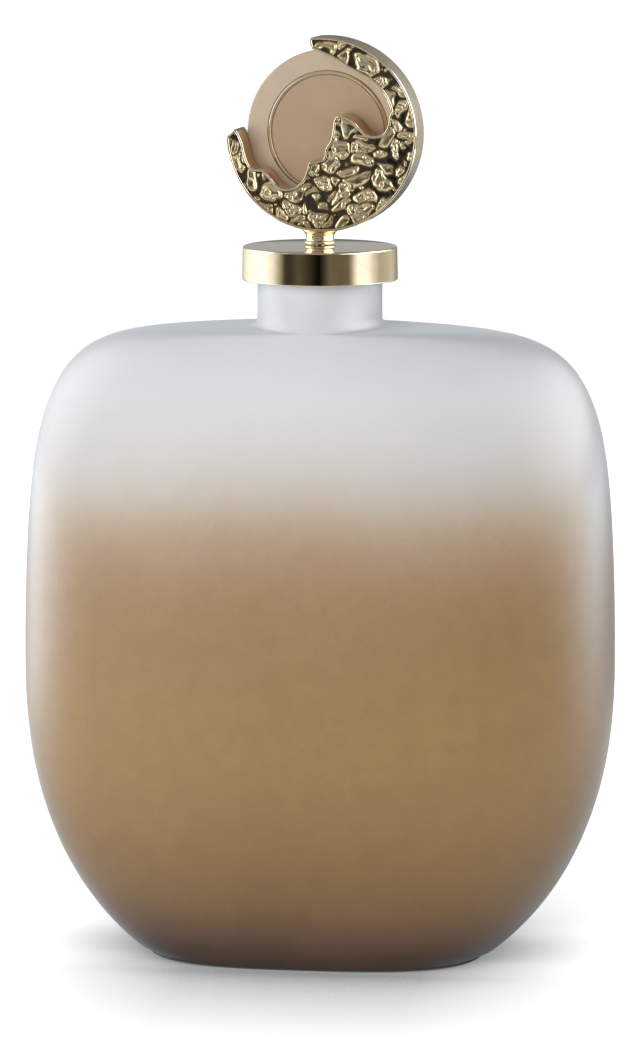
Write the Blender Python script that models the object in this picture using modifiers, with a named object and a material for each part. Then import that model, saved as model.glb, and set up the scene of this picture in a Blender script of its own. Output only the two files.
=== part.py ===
"""Decorative jar: a flattened frosted glass flask with a lift-off metal stopper.

The stopper carries a cast crescent with a wave-shaped inner edge and a round disc
screwed to its back. Lengths are in metres. The base stands on z = 0, the jar's broad
front faces -Y, and the stopper lifts and turns about the Z axis.
"""

import math

import bmesh
import bpy
import numpy as np
from mathutils import Vector

MM = 0.001

# Clearances
GAP = 0.3 * MM  # between pieces that rest on or fit in each other
PLUG_CLEARANCE = 1.8 * MM  # plug to neck bore, which the seal rings bridge

# Glass bottle, full sizes
BODY_WIDTH = 253.2 * MM
BODY_DEPTH = 120.0 * MM
BELLY_HEIGHT = 125.0 * MM  # height of the widest section
SHOULDER_HEIGHT = 269.6 * MM  # height of the shoulders' top
FOOT_INSET_SIDE = 53.5 * MM  # from the widest section in to the foot, at each side
FOOT_INSET_FRONT = 7.5 * MM  # the same at front and back
SHOULDER_INSET_FRONT = 29.0 * MM  # from the widest section in to the shoulders' top
GLASS_WALL = 4.2 * MM
FLOOR_RISE = 3.2 * MM  # hollow under the base, inside the foot ring
FOOT_LAND = 7.0 * MM  # width of the flat foot ring
FOOT_ROUND = 1.6 * MM
FLOOR_FILLET = 8.0 * MM
LOWER_CURVE = 2.3  # exponents of the side outline and of the plan
SHOULDER_CURVE = 6.2
SHOULDER_LEAN = 0.068  # share by which the sides draw in towards the shoulders
PLAN_CURVE = 3.0
PLAN_ROUNDS_FROM = 0.55  # share of the upper body above which the plan turns round

# Neck
NECK_RADIUS = 26.6 * MM
NECK_HEIGHT = 27.3 * MM  # shoulders' top to rim
NECK_FILLET = 4.2 * MM
NECK_BLEND = 9.0 * MM  # front face to neck, a soft flow with no crease
RIM_ROUND = 0.8 * MM

# Stopper below the cap
GASKET_THICKNESS = 1.6 * MM
FLANGE_THICKNESS = 3.0 * MM
PLUG_LENGTH = 20.0 * MM  # below its flange
PLUG_ROUND = 1.0 * MM
SEAL_THICKNESS = 2.8 * MM
SEAL_DEPTHS = (6.0 * MM, 14.5 * MM)  # below the flange
WASHER_RADIUS = 8.0 * MM
WASHER_THICKNESS = 1.2 * MM
SCREW_RADIUS = 2.0 * MM
SCREW_HEAD_RADIUS = 4.0 * MM
SCREW_HEAD_HEIGHT = 2.6 * MM
SCREW_GRIP = 14.0 * MM  # thread held in the casting

# Cap and collar
CAP_RADIUS = 32.9 * MM
CAP_DRAFT = 0.3 * MM  # the skirt widens by this towards its lower edge
CAP_HEIGHT = 14.1 * MM
CAP_WALL = 1.4 * MM
CAP_CROWN = 0.8 * MM
CAP_ROUND = 1.1 * MM
COLLAR_RADIUS = 6.7 * MM
COLLAR_THICKNESS = 1.2 * MM

# Crescent casting, with the stem that is cast on it
MOON_RADIUS = 35.3 * MM
CRESCENT_RIM = 5.9 * MM  # metal outside the disc
CRESCENT_DEPTH = 17.0 * MM
CRESCENT_ROUND = 1.1 * MM
STEM_WAIST_RADIUS = 5.9 * MM
STEM_FOOT_RADIUS = 6.3 * MM
STEM_HEAD_RADIUS = 7.6 * MM
STEM_HEIGHT = 4.2 * MM  # showing between collar and crescent
FINIAL_SHIFT = 2.2 * MM  # crescent's centre to the right of the stem
LID_TURN = math.radians(-5.0)  # how the stopper stands turned at rest

# Moon disc
DISC_SET_BACK = 14.2 * MM  # crescent's face to disc's face
DISC_BACK_MARGIN = 0.2 * MM
DISC_ROUND = 0.8 * MM
BEZEL_RADIUS = 25.4 * MM  # to the middle of the ring's width
BEZEL_WIDTH = 1.3 * MM
BEZEL_STAND = 0.5 * MM  # proud of the disc
RECESS_DEPTH = 1.1 * MM
INLAY_SINK = 0.1 * MM
DISC_SCREW_RADIUS = 1.0 * MM
DISC_SCREW_HEAD_RADIUS = 1.9 * MM
DISC_SCREW_GRIP = 6.0 * MM
DISC_SCREW_CIRCLE = 31.0 * MM
DISC_SCREW_ANGLES = (-12.0, -60.0, -108.0)  # degrees, seen from the front

# Facets
PLAN_SEGMENTS = 52
OUTER_RINGS = (9, 13, 4, 1)  # along the lower body, shoulder, fillet and neck
INNER_RINGS = (6, 9, 2, 1)
CAP_STEPS = 48
TURN_STEPS = 32
SCREW_STEPS = 20
DISC_SCREW_STEPS = 16
SEAL_STEPS = 28
SEAL_SIDES = 8
ARC_STEPS = 2
CREST_STEPS = 76
CUTTER_CLOCKING = math.radians(3.7)  # keeps cutters' corners off the facet lines

# Wave edge of the crescent, from the tip of the left horn to the tip of the upper horn.
# Each point is (right, up) from the crescent's centre, in shares of its radius.
CREST = (
    (-0.965, -0.014), (-0.912, 0.040), (-0.868, -0.006), (-0.830, -0.090), (-0.806, -0.190),
    (-0.775, -0.285), (-0.725, -0.355), (-0.610, -0.372), (-0.535, -0.445), (-0.455, -0.535),
    (-0.370, -0.562), (-0.255, -0.530), (-0.190, -0.465), (-0.152, -0.375), (-0.125, -0.290),
    (-0.045, -0.268), (0.030, -0.240), (0.045, -0.150), (0.100, -0.060), (0.122, 0.045),
    (0.140, 0.150), (0.185, 0.200), (0.260, 0.186), (0.345, 0.145), (0.410, 0.072),
    (0.480, 0.008), (0.565, -0.006), (0.650, 0.020), (0.698, 0.095), (0.712, 0.180),
    (0.732, 0.240), (0.712, 0.315), (0.670, 0.405), (0.612, 0.480), (0.505, 0.570),
    (0.395, 0.628), (0.280, 0.690), (0.140, 0.775), (0.000, 0.838), (-0.100, 0.880),
    (-0.118, 0.925),
)

BODY_HALF_WIDTH = BODY_WIDTH / 2
BODY_HALF_DEPTH = BODY_DEPTH / 2
UPPER_HEIGHT = SHOULDER_HEIGHT - BELLY_HEIGHT
BORE_RADIUS = NECK_RADIUS - GLASS_WALL
RIM_Z = SHOULDER_HEIGHT + NECK_HEIGHT
GLASS_FLOOR_Z = FLOOR_RISE + GLASS_WALL

PLUG_RADIUS = BORE_RADIUS - PLUG_CLEARANCE
FLANGE_RADIUS = NECK_RADIUS - RIM_ROUND
FLANGE_Z = RIM_Z + GAP + GASKET_THICKNESS + GAP
FLANGE_TOP_Z = FLANGE_Z + FLANGE_THICKNESS
PLUG_BOTTOM_Z = FLANGE_Z - PLUG_LENGTH
SEAL_RADIUS = SEAL_THICKNESS / 2
SEAL_RING_RADIUS = BORE_RADIUS - GAP - SEAL_RADIUS
WASHER_Z = PLUG_BOTTOM_Z - GAP - WASHER_THICKNESS
SCREW_TOP_OF_HEAD_Z = WASHER_Z - GAP
SCREW_HOLE = SCREW_RADIUS + GAP

CAP_TOP_Z = FLANGE_TOP_Z + GAP + CAP_WALL
COLLAR_Z = CAP_TOP_Z + CAP_CROWN + GAP
STEM_Z = COLLAR_Z + COLLAR_THICKNESS + GAP
CRESCENT_RADIUS = MOON_RADIUS + CRESCENT_RIM
FINIAL_Z = STEM_Z + STEM_HEIGHT + CRESCENT_RADIUS
SCREW_TOP_Z = STEM_Z + SCREW_GRIP

CRESCENT_FRONT = -CRESCENT_DEPTH / 2
DISC_FRONT = CRESCENT_FRONT + DISC_SET_BACK
DISC_BACK = CRESCENT_DEPTH / 2 - DISC_BACK_MARGIN
RECESS_FLOOR = DISC_FRONT + RECESS_DEPTH
RECESS_RADIUS = BEZEL_RADIUS + BEZEL_WIDTH / 2 + GAP
INLAY_RADIUS = BEZEL_RADIUS - BEZEL_WIDTH / 2 - GAP
DISC_SCREW_HOLE = DISC_SCREW_RADIUS + GAP


def clear_scene():
    for obj in list(bpy.data.objects):
        bpy.data.objects.remove(obj, do_unlink=True)


def new_collection(name, helpers=False):
    collection = bpy.data.collections.new(name)
    bpy.context.scene.collection.children.link(collection)
    collection.hide_render = helpers
    return collection


def finish(name, colour, roughness, metallic, coat=0.0):
    """A material of one colour, roughness and metallic value."""
    material = bpy.data.materials.new(name)
    material.use_nodes = True
    shader = material.node_tree.nodes["Principled BSDF"]
    shader.inputs["Base Color"].default_value = (*colour, 1.0)
    shader.inputs["Roughness"].default_value = roughness
    shader.inputs["Metallic"].default_value = metallic
    shader.inputs["Coat Weight"].default_value = coat
    return material


def add_object(name, mesh, material, collection, parent=None):
    obj = bpy.data.objects.new(name, mesh)
    mesh.materials.append(material)
    collection.objects.link(obj)
    obj.parent = parent
    mesh.shade_smooth()
    return obj


def add_cutter(name, mesh, collection, parent=None):
    obj = bpy.data.objects.new(name, mesh)
    collection.objects.link(obj)
    obj.parent = parent
    obj.hide_render = True
    obj.display_type = "WIRE"
    return obj


def clock(cutter, along="Z"):
    """Turns a round cutter about its own axis by part of a facet."""
    cutter.rotation_euler["XYZ".index(along)] = CUTTER_CLOCKING
    return cutter


def combine(obj, other, operation):
    boolean = obj.modifiers.new(f"{operation.lower()} {other.name}", "BOOLEAN")
    boolean.operation = operation
    boolean.solver = "EXACT"
    boolean.object = other


def corner_arc(before, corner, after, radius, steps=ARC_STEPS):
    """Points of the arc that rounds a corner, or the corner itself where the radius is 0."""
    if radius <= 0:
        return [corner]
    corner = Vector(corner)
    to_before = (Vector(before) - corner).normalized()
    to_after = (Vector(after) - corner).normalized()
    half = to_before.angle(to_after) / 2
    centre = corner + (to_before + to_after).normalized() * radius / math.sin(half)
    start = (corner + to_before * radius / math.tan(half) - centre).normalized()
    end = (corner + to_after * radius / math.tan(half) - centre).normalized()
    return [tuple(centre + start.slerp(end, step / steps) * radius) for step in range(steps + 1)]


def rounded(corners, closed=True):
    """A profile from corners (radius, height, rounding)."""
    points = []
    count = len(corners)
    for i, (across, up, rounding) in enumerate(corners):
        if not closed and i in (0, count - 1):
            points.append((across, up))
            continue
        before = corners[i - 1][:2]
        after = corners[(i + 1) % count][:2]
        points += corner_arc(before, (across, up), after, rounding)
    return points


def turned_mesh(name, profile, closed=True, along="Z"):
    """The profile's outline as edges. It runs down the outer side, from high to low."""
    mesh = bpy.data.meshes.new(name)
    if along == "Z":
        points = [(across, 0, up) for across, up in profile]
    else:
        points = [(0, up, across) for across, up in profile]
    count = len(points)
    edges = [(i, (i + 1) % count) for i in range(count if closed else count - 1)]
    mesh.from_pydata(points, edges, [])
    return mesh


def turn(obj, along="Z", steps=TURN_STEPS):
    """Turns an object's profile about its axis."""
    screw = obj.modifiers.new("turn", "SCREW")
    screw.axis = along
    screw.steps = steps
    screw.render_steps = steps
    screw.use_merge_vertices = True
    screw.merge_threshold = 0.00001
    return obj


def soft_larger(a, b, blend):
    """The larger of two values, with a smooth passage where they are close."""
    near = np.maximum(blend - np.abs(a - b), 0) / blend
    return np.maximum(a, b) + near * near * blend / 4


def side_outline(ring_counts, samples=240):
    """Half-width, height and ring position up the bottle's side, from foot to rim.

    A ring stands wherever the ring position is a whole number.
    """
    foot = BODY_HALF_WIDTH - FOOT_INSET_SIDE
    reach = BELLY_HEIGHT / (1 - (foot / BODY_HALF_WIDTH) ** LOWER_CURVE) ** (1 / LOWER_CURVE)
    low = np.linspace(0, BELLY_HEIGHT, samples)
    below = (BELLY_HEIGHT - low) / reach
    wide = BODY_HALF_WIDTH * (1 - below**LOWER_CURVE) ** (1 / LOWER_CURVE)
    lower = np.stack([wide, low], 1)

    angle = np.linspace(0, math.pi / 2, samples * 20)[:-1]
    above = np.sin(angle) ** (2 / SHOULDER_CURVE)
    lean = 1 - SHOULDER_LEAN * above**2
    across = BODY_HALF_WIDTH * np.cos(angle) ** (2 / SHOULDER_CURVE) * lean
    kept = across > NECK_RADIUS + NECK_FILLET
    shoulder = np.stack([across[kept], BELLY_HEIGHT + above[kept] * UPPER_HEIGHT], 1)

    turned_by = np.linspace(0, math.pi / 2, 24)
    fillet_z = SHOULDER_HEIGHT + NECK_FILLET
    fillet = np.stack([NECK_RADIUS + NECK_FILLET * (1 - np.sin(turned_by)),
                       fillet_z - NECK_FILLET * np.cos(turned_by)], 1)
    neck_z = np.linspace(fillet_z, RIM_Z - RIM_ROUND, 24)
    neck = np.stack([np.full_like(neck_z, NECK_RADIUS), neck_z], 1)

    rows = []
    passed = 0
    for stretch, count in zip((lower, shoulder, fillet, neck), ring_counts):
        travel = travel_along(stretch)
        position = passed + count * travel / travel[-1]
        rows.append(np.column_stack([stretch, position])[1 if passed else 0:])
        passed += count
    return np.concatenate(rows)


def front_outline(heights):
    """Half-depth at each height, up the bottle's front."""
    foot = BODY_HALF_DEPTH - FOOT_INSET_FRONT
    shoulder = BODY_HALF_DEPTH - SHOULDER_INSET_FRONT
    lower_reach = BELLY_HEIGHT / math.sqrt(1 - (foot / BODY_HALF_DEPTH) ** 2)
    upper_reach = UPPER_HEIGHT / math.sqrt(1 - (shoulder / BODY_HALF_DEPTH) ** 2)
    reach = np.where(heights < BELLY_HEIGHT, lower_reach, upper_reach)
    share = (heights - BELLY_HEIGHT) / reach
    body = BODY_HALF_DEPTH * np.sqrt(np.maximum(1 - share**2, 0))
    return soft_larger(body, np.full_like(body, NECK_RADIUS), NECK_BLEND)


def plan_curve(heights):
    """Exponent of the plan at each height: square-shouldered below, round at the neck."""
    share = (heights - BELLY_HEIGHT) / UPPER_HEIGHT
    share = np.clip((share - PLAN_ROUNDS_FROM) / (1 - PLAN_ROUNDS_FROM), 0, 1)
    return PLAN_CURVE + (2 - PLAN_CURVE) * share * share * (3 - 2 * share)


def offset_inward(outline, distance):
    """The outline moved towards the bottle's axis, at a right angle to itself."""
    along = np.gradient(outline, axis=0)
    along /= np.linalg.norm(along, axis=1)[:, None]
    return outline + distance * np.stack([-along[:, 1], along[:, 0]], 1)


def travel_along(outline):
    """Distance along an outline at each of its points."""
    steps = np.linalg.norm(np.diff(outline, axis=0), axis=1)
    return np.concatenate([[0], np.cumsum(steps)])


def evenly_along(outline, count):
    """Points at even steps along an outline."""
    travel = travel_along(outline)
    wanted = np.linspace(0, travel[-1], count)
    return np.stack([np.interp(wanted, travel, outline[:, i]) for i in (0, 1)], 1)


def rings_along(outline, positions):
    """The outline's points where the ring position is a whole number."""
    wanted = np.arange(math.ceil(positions[0]), math.floor(positions[-1]) + 1)
    return np.stack([np.interp(wanted, positions, outline[:, i]) for i in (0, 1)], 1)


def outer_sections():
    """The glass's outer sections, from the hollow under the base up to the rim."""
    side = side_outline(OUTER_RINGS)
    wide, heights = rings_along(side[:, :2], side[:, 2]).T
    deep = front_outline(heights)
    curve = plan_curve(heights)
    foot_wide, foot_deep = wide[0], deep[0]
    under = [(FOOT_ROUND + FOOT_LAND + FLOOR_RISE * 2, FLOOR_RISE),
             (FOOT_ROUND + FOOT_LAND, 0.0)]
    for step in range(ARC_STEPS + 1):
        turned_by = math.pi / 2 * step / ARC_STEPS
        under.append((FOOT_ROUND * (1 - math.sin(turned_by)), FOOT_ROUND * (1 - math.cos(turned_by))))
    sections = [(foot_wide - inset, foot_deep - inset, PLAN_CURVE, z) for inset, z in under]
    body = [row for row in zip(wide, deep, curve, heights) if row[3] > FOOT_ROUND * 1.5]
    rim = NECK_RADIUS - RIM_ROUND
    return sections + body + [(rim, rim, 2.0, RIM_Z)]


def inner_sections():
    """The glass's inner sections, from the rim down to the floor."""
    side = side_outline(INNER_RINGS)
    positions = side[:, 2]
    side = offset_inward(side[:, :2], GLASS_WALL)
    heights = np.linspace(0, RIM_Z, 400)
    front = offset_inward(np.stack([front_outline(heights), heights], 1), GLASS_WALL)
    fillet_z = GLASS_FLOOR_Z + FLOOR_FILLET
    above = side[:, 1] > fillet_z
    side = np.concatenate([side[above][:1], rings_along(side[above], positions[above])])
    deep = np.interp(side[:, 1], front[:, 1], front[:, 0])
    deep = np.where(side[:, 1] > SHOULDER_HEIGHT + NECK_FILLET, np.maximum(deep, BORE_RADIUS), deep)
    walls = [(wide, d, n, z) for (wide, z), d, n in zip(side, deep, plan_curve(side[:, 1]))]
    low_wide, low_deep, low_curve, _ = walls[0]
    floor = []
    for step in range(ARC_STEPS, 0, -1):
        turned_by = math.pi / 2 * step / ARC_STEPS
        inset = FLOOR_FILLET * (1 - math.cos(turned_by))
        z = fillet_z - FLOOR_FILLET * math.sin(turned_by)
        floor.append((low_wide - inset, low_deep - inset, low_curve, z))
    mouth = BORE_RADIUS + RIM_ROUND
    walls[-1] = (BORE_RADIUS, BORE_RADIUS, 2.0, RIM_Z - RIM_ROUND)
    return [(mouth, mouth, 2.0, RIM_Z)] + walls[::-1] + floor[::-1]


def section_points(half_width, half_depth, curve, z):
    points = []
    for i in range(PLAN_SEGMENTS):
        angle = 2 * math.pi * i / PLAN_SEGMENTS
        c, s = math.cos(angle), math.sin(angle)
        x = math.copysign(abs(c) ** (2 / curve), c) * half_width
        y = math.copysign(abs(s) ** (2 / curve), s) * half_depth
        points.append((x, y, z))
    return points


def bottle_mesh():
    """One closed wall: up the outside, over the rim and down the inside."""
    bm = bmesh.new()
    rings = []
    for section in outer_sections() + inner_sections():
        rings.append([bm.verts.new(point) for point in section_points(*section)])
    for lower, upper in zip(rings, rings[1:]):
        for i in range(PLAN_SEGMENTS):
            j = (i + 1) % PLAN_SEGMENTS
            bm.faces.new((lower[i], lower[j], upper[j], upper[i]))
    for ring in (rings[0], rings[-1]):
        centre = bm.verts.new((0, 0, ring[0].co.z))
        for i in range(PLAN_SEGMENTS):
            bm.faces.new((ring[i], ring[(i + 1) % PLAN_SEGMENTS], centre))
    bmesh.ops.recalc_face_normals(bm, faces=bm.faces[:])
    mesh = bpy.data.meshes.new("glass_bottle")
    bm.to_mesh(mesh)
    bm.free()
    return mesh


def tube_profile(inner, outer, low, high, rounding):
    """A washer's or tube's cross-section, its outer corners rounded."""
    return rounded([(outer, high, rounding), (outer, low, rounding), (inner, low, 0), (inner, high, 0)])


def ring_profile(middle, radius, level):
    """A seal ring's round cross-section."""
    angles = [math.pi / 2 - 2 * math.pi * i / SEAL_SIDES for i in range(SEAL_SIDES)]
    return [(middle + radius * math.cos(a), level + radius * math.sin(a)) for a in angles]


def screw_profile(shank, head, head_height, head_z, tip_z):
    """A pan-head screw that points up, from its tip down to its head."""
    chamfer = shank * 0.4
    return [(0, tip_z), (shank - chamfer, tip_z), (shank, tip_z - chamfer), (shank, head_z),
            (head, head_z), (head, head_z - head_height * 0.5),
            (head * 0.75, head_z - head_height * 0.9), (0, head_z - head_height)]


def cap_profile():
    """The cap's shell: crowned top, skirt with a slight draft, and a hole for the screw."""
    top = [(share, CAP_CROWN * (1 - share**2)) for share in (0.85, 0.65, 0.45, 0.25)]
    skirt_z = CAP_TOP_Z - CAP_HEIGHT
    outer = CAP_RADIUS
    corners = [(SCREW_HOLE, CAP_TOP_Z + CAP_CROWN, 0)]
    corners += [(outer * share, CAP_TOP_Z + rise, 0) for share, rise in reversed(top)]
    corners += [(outer, CAP_TOP_Z, CAP_ROUND),
                (outer + CAP_DRAFT, skirt_z, CAP_WALL * 0.35),
                (outer + CAP_DRAFT - CAP_WALL, skirt_z, CAP_WALL * 0.35),
                (outer - CAP_WALL, CAP_TOP_Z - CAP_WALL, 0),
                (SCREW_HOLE, CAP_TOP_Z - CAP_WALL, 0)]
    return rounded(corners)


def plug_profile():
    """The plug's body with a groove for each seal ring."""
    groove = SEAL_RING_RADIUS - SEAL_RADIUS - GAP
    half = SEAL_RADIUS + GAP
    corners = [(FLANGE_RADIUS, FLANGE_TOP_Z, 0), (FLANGE_RADIUS, FLANGE_Z, 0), (PLUG_RADIUS, FLANGE_Z, 0)]
    for depth in SEAL_DEPTHS:
        level = FLANGE_Z - depth
        corners += [(PLUG_RADIUS, level + half, 0), (groove, level + half, 0),
                    (groove, level - half, 0), (PLUG_RADIUS, level - half, 0)]
    corners += [(PLUG_RADIUS, PLUG_BOTTOM_Z, PLUG_ROUND), (SCREW_HOLE, PLUG_BOTTOM_Z, 0),
                (SCREW_HOLE, FLANGE_TOP_Z, 0)]
    return rounded(corners)


def stem_profile():
    """The stem's waisted outline, from inside the crescent down to its foot."""
    reach = CRESCENT_ROUND * 2 + STEM_HEAD_RADIUS / 2
    head_z = STEM_Z + STEM_HEIGHT
    shape = ((reach, 1.05), (0.0, 1.0), (-0.25, 0.62), (-0.5, 0.25), (-0.75, 0.0))
    points = [(0, head_z + reach)]
    for share, flare in shape:
        rise = share if share == reach else share * STEM_HEIGHT
        points.append((STEM_WAIST_RADIUS + (STEM_HEAD_RADIUS - STEM_WAIST_RADIUS) * flare, head_z + rise))
    return points + [(STEM_FOOT_RADIUS, STEM_Z), (0, STEM_Z)]


def smooth_line(points, count):
    """A Catmull-Rom curve through the points, read at even steps."""
    points = np.array(points)
    ends = np.concatenate([[2 * points[0] - points[1]], points, [2 * points[-1] - points[-2]]])
    t = np.linspace(0, 1, 12, endpoint=False)[:, None]
    dense = []
    for a, b, c, d in zip(ends, ends[1:], ends[2:], ends[3:]):
        dense.append(0.5 * (2 * b + (c - a) * t + (2 * a - 5 * b + 4 * c - d) * t**2
                            + (3 * b - a - 3 * c + d) * t**3))
    return evenly_along(np.concatenate(dense + [points[-1:]]), count)


def window_mesh():
    """The cutter that opens the crescent: the wave edge, carried out past the rim."""
    wave = smooth_line(CREST, CREST_STEPS) * CRESCENT_RADIUS
    first = math.atan2(wave[0][1], wave[0][0]) % (2 * math.pi)
    last = math.atan2(wave[-1][1], wave[-1][0]) % (2 * math.pi)
    outside = CRESCENT_RADIUS * 1.15
    sweep = [last + (first - last) * step / 8 for step in range(9)]
    points = [tuple(point) for point in wave] + [(outside * math.cos(a), outside * math.sin(a)) for a in sweep]
    bm = bmesh.new()
    deep = CRESCENT_DEPTH
    face = bm.faces.new([bm.verts.new((x, -deep, z)) for x, z in points])
    made = bmesh.ops.extrude_face_region(bm, geom=[face])
    moved = [item for item in made["geom"] if isinstance(item, bmesh.types.BMVert)]
    bmesh.ops.translate(bm, verts=moved, vec=(0, 2 * deep, 0))
    bmesh.ops.recalc_face_normals(bm, faces=bm.faces[:])
    mesh = bpy.data.meshes.new("window_cutter")
    bm.to_mesh(mesh)
    bm.free()
    return mesh


def disc_screw_places():
    """Where each of the disc's screws stands, (right, up) from the crescent's centre."""
    for degrees in DISC_SCREW_ANGLES:
        angle = math.radians(degrees)
        yield DISC_SCREW_CIRCLE * math.cos(angle), DISC_SCREW_CIRCLE * math.sin(angle)


def make_bottle(parts, glass):
    add_object("glass_bottle", bottle_mesh(), glass, parts)


def make_stopper(parts, lid, plastic, rubber, steel, gold):
    """Everything of the stopper up to the collar, from the plug's washer and screw up."""
    gasket_z = RIM_Z + GAP
    profile = tube_profile(PLUG_RADIUS + GAP, FLANGE_RADIUS, gasket_z, gasket_z + GASKET_THICKNESS, 0)
    turn(add_object("rim_gasket", turned_mesh("rim_gasket", profile), rubber, parts, lid))

    for name, depth in zip(("stopper_seal_upper", "stopper_seal_lower"), SEAL_DEPTHS):
        profile = ring_profile(SEAL_RING_RADIUS, SEAL_RADIUS, FLANGE_Z - depth)
        turn(add_object(name, turned_mesh(name, profile), rubber, parts, lid), steps=SEAL_STEPS)

    turn(add_object("stopper_plug", turned_mesh("stopper_plug", plug_profile()), plastic, parts, lid))

    profile = tube_profile(SCREW_HOLE, WASHER_RADIUS, WASHER_Z, WASHER_Z + WASHER_THICKNESS, 0)
    turn(add_object("stopper_washer", turned_mesh("stopper_washer", profile), steel, parts, lid))

    profile = screw_profile(SCREW_RADIUS, SCREW_HEAD_RADIUS, SCREW_HEAD_HEIGHT, SCREW_TOP_OF_HEAD_Z, SCREW_TOP_Z)
    screw = add_object("stopper_screw", turned_mesh("stopper_screw", profile, closed=False),
                       steel, parts, lid)
    turn(screw, steps=SCREW_STEPS)

    turn(add_object("lid_cap", turned_mesh("lid_cap", cap_profile()), gold, parts, lid), steps=CAP_STEPS)

    profile = tube_profile(SCREW_HOLE, COLLAR_RADIUS, COLLAR_Z, COLLAR_Z + COLLAR_THICKNESS,
                           COLLAR_THICKNESS * 0.4)
    turn(add_object("stem_collar", turned_mesh("stem_collar", profile), gold, parts, lid))


def make_crescent(parts, cutters, lid, finial, gold):
    """The casting: a drum opened by the wave edge, a pocket for the disc, and the stem."""
    profile = rounded([(0, -CRESCENT_FRONT, 0), (CRESCENT_RADIUS, -CRESCENT_FRONT, CRESCENT_ROUND),
                       (CRESCENT_RADIUS, CRESCENT_FRONT, CRESCENT_ROUND), (0, CRESCENT_FRONT, 0)],
                      closed=False)
    drum = add_object("crescent_casting", turned_mesh("crescent_casting", profile, False, "Y"),
                      gold, parts, finial)
    turn(drum, "Y", CAP_STEPS)

    combine(drum, add_cutter("window_cutter", window_mesh(), cutters, finial), "DIFFERENCE")

    stem = add_cutter("stem_shape", turned_mesh("stem_shape", stem_profile(), False), cutters, lid)
    combine(drum, turn(stem), "UNION")

    seat = DISC_FRONT - GAP
    pocket = [(0, CRESCENT_DEPTH), (MOON_RADIUS + GAP, CRESCENT_DEPTH), (MOON_RADIUS + GAP, seat),
              (RECESS_RADIUS, seat), (RECESS_RADIUS, seat - BEZEL_STAND), (0, seat - BEZEL_STAND)]
    pocket = add_cutter("pocket_cutter", turned_mesh("pocket_cutter", pocket, False, "Y"), cutters, finial)
    combine(drum, clock(turn(pocket, "Y", CAP_STEPS), "Y"), "DIFFERENCE")

    bore = [(0, SCREW_TOP_Z + GAP), (SCREW_HOLE, SCREW_TOP_Z + GAP), (SCREW_HOLE, COLLAR_Z), (0, COLLAR_Z)]
    bore = add_cutter("stem_bore", turned_mesh("stem_bore", bore, False), cutters, lid)
    combine(drum, clock(turn(bore, steps=SCREW_STEPS)), "DIFFERENCE")

    tip = DISC_BACK - DISC_SCREW_GRIP - GAP
    for number, (right, up) in enumerate(disc_screw_places(), 1):
        hole = [(0, CRESCENT_DEPTH), (DISC_SCREW_HOLE, CRESCENT_DEPTH), (DISC_SCREW_HOLE, tip), (0, tip)]
        hole = add_cutter(f"casting_hole_{number}", turned_mesh("casting_hole", hole, False, "Y"),
                          cutters, finial)
        hole.location = (right, 0, up)
        combine(drum, clock(turn(hole, "Y", DISC_SCREW_STEPS), "Y"), "DIFFERENCE")


def make_moon(parts, cutters, finial, champagne, gold, tan, steel):
    """The disc behind the crescent, with its inlay, its bezel ring and its screws."""
    profile = rounded([(0, DISC_BACK, 0), (MOON_RADIUS, DISC_BACK, DISC_ROUND),
                       (MOON_RADIUS, DISC_FRONT, DISC_ROUND), (RECESS_RADIUS, DISC_FRONT, 0),
                       (RECESS_RADIUS, RECESS_FLOOR, 0), (0, RECESS_FLOOR, 0)], closed=False)
    disc = add_object("moon_disc", turned_mesh("moon_disc", profile, False, "Y"), champagne, parts, finial)
    turn(disc, "Y", CAP_STEPS)

    back = RECESS_FLOOR - GAP
    face = DISC_FRONT + INLAY_SINK
    profile = [(0, back), (INLAY_RADIUS, back), (INLAY_RADIUS, face), (0, face)]
    inlay = add_object("moon_inlay", turned_mesh("moon_inlay", profile, False, "Y"), tan, parts, finial)
    turn(inlay, "Y", CAP_STEPS)

    half = BEZEL_WIDTH / 2
    profile = rounded([(BEZEL_RADIUS + half, back, 0),
                       (BEZEL_RADIUS + half, DISC_FRONT - BEZEL_STAND, half * 0.9),
                       (BEZEL_RADIUS - half, DISC_FRONT - BEZEL_STAND, half * 0.9),
                       (BEZEL_RADIUS - half, back, 0)])
    ring = add_object("moon_bezel_ring", turned_mesh("moon_bezel_ring", profile, True, "Y"),
                      gold, parts, finial)
    turn(ring, "Y", CAP_STEPS)

    tip = DISC_BACK - DISC_SCREW_GRIP
    cone = DISC_SCREW_HEAD_RADIUS - DISC_SCREW_RADIUS
    shank = [(0, DISC_BACK), (DISC_SCREW_HEAD_RADIUS, DISC_BACK), (DISC_SCREW_RADIUS, DISC_BACK - cone),
             (DISC_SCREW_RADIUS, tip), (0, tip)]
    past = CRESCENT_DEPTH - DISC_BACK
    sink = [(0, DISC_BACK + past), (DISC_SCREW_HEAD_RADIUS + GAP, DISC_BACK + past),
            (DISC_SCREW_HEAD_RADIUS + GAP, DISC_BACK), (DISC_SCREW_HOLE, DISC_BACK - cone),
            (DISC_SCREW_HOLE, tip), (0, tip)]
    for number, (right, up) in enumerate(disc_screw_places(), 1):
        name = f"disc_screw_{number}"
        screw = add_object(name, turned_mesh(name, shank, False, "Y"), steel, parts, finial)
        screw.location = (right, 0, up)
        turn(screw, "Y", DISC_SCREW_STEPS)
        hole = add_cutter(f"countersink_{number}", turned_mesh("countersink", sink, False, "Y"),
                          cutters, finial)
        hole.location = (right, 0, up)
        combine(disc, clock(turn(hole, "Y", DISC_SCREW_STEPS), "Y"), "DIFFERENCE")


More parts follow.
